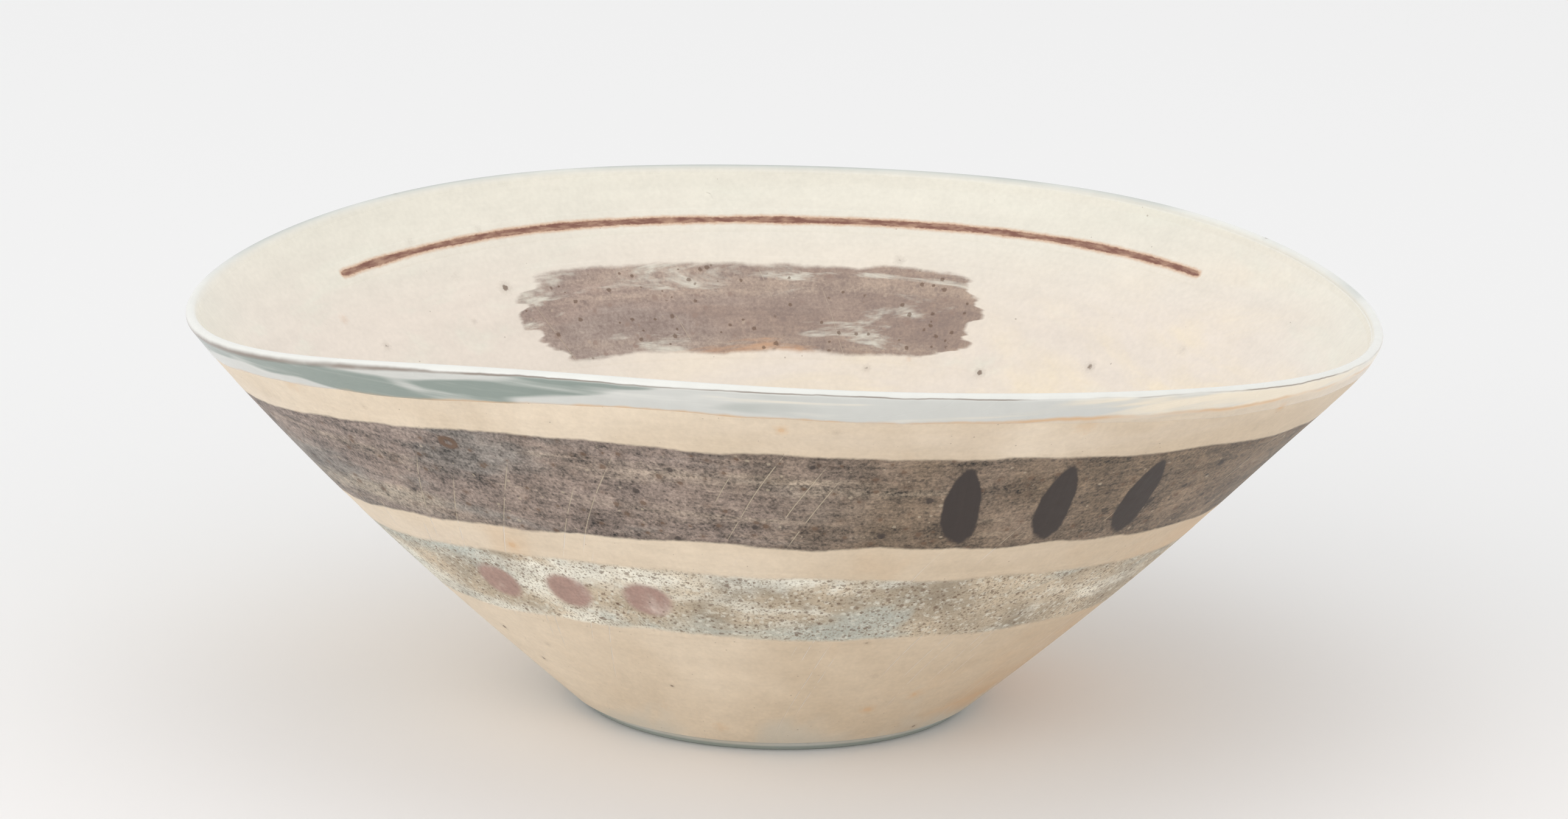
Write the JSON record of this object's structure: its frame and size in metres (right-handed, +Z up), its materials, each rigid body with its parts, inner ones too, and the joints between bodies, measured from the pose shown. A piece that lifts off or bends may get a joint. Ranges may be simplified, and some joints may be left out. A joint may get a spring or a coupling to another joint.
{
  "type": "porcelain bowl",
  "caption": "Wide oval porcelain bowl with a dipping lip, a low turned foot, glazed inside and at the lip, and brushed slip bands, dabs and dots outside.",
  "frame": {"origin": "on the surface that the bowl stands on, under the middle of the lip's extents", "axes": "+X along the bowl's long axis, +Z up, -Y towards the front, the side with the high lip"},
  "size_m": [0.2992, 0.2751, 0.1149],
  "materials": {
    "porcelain": "bare fired porcelain, smooth and dry",
    "liner_glaze": "thin pale cream glaze with a soft shine",
    "pale_glaze": "clear pale blue-white glaze, glossy",
    "cream_slip": "cream to tan satin slip with fine specks",
    "grey_slip": "brushed grey-brown slip",
    "sand_slip": "brushed sandy slip, speckled",
    "dark_slip": "dark brown slip, satin",
    "pink_slip": "dusty pink slip, satin",
    "iron_slip": "thin rust-coloured slip"
  },
  "bodies": {
    "root": {"porcelain_body": "porcelain", "foot_ring": "porcelain", "liner_glaze": "liner_glaze", "rim_glaze": "pale_glaze", "foot_glaze": "pale_glaze", "underside_glaze": "pale_glaze", "outer_coat": "cream_slip", "grey_slip_band": "grey_slip", "sand_slip_band": "sand_slip", "dark_slip_dab_1": "dark_slip", "dark_slip_dab_2": "dark_slip", "dark_slip_dab_3": "dark_slip", "dark_slip_dab_4": "dark_slip", "dark_slip_dab_5": "dark_slip", "dark_slip_dab_6": "dark_slip", "pink_slip_dot_1": "pink_slip", "pink_slip_dot_2": "pink_slip", "pink_slip_dot_3": "pink_slip", "pink_slip_dot_4": "pink_slip", "pink_slip_dot_5": "pink_slip", "pink_slip_dot_6": "pink_slip", "inside_grey_arc": "grey_slip", "inside_iron_line": "iron_slip"}
  },
  "joints": []
}
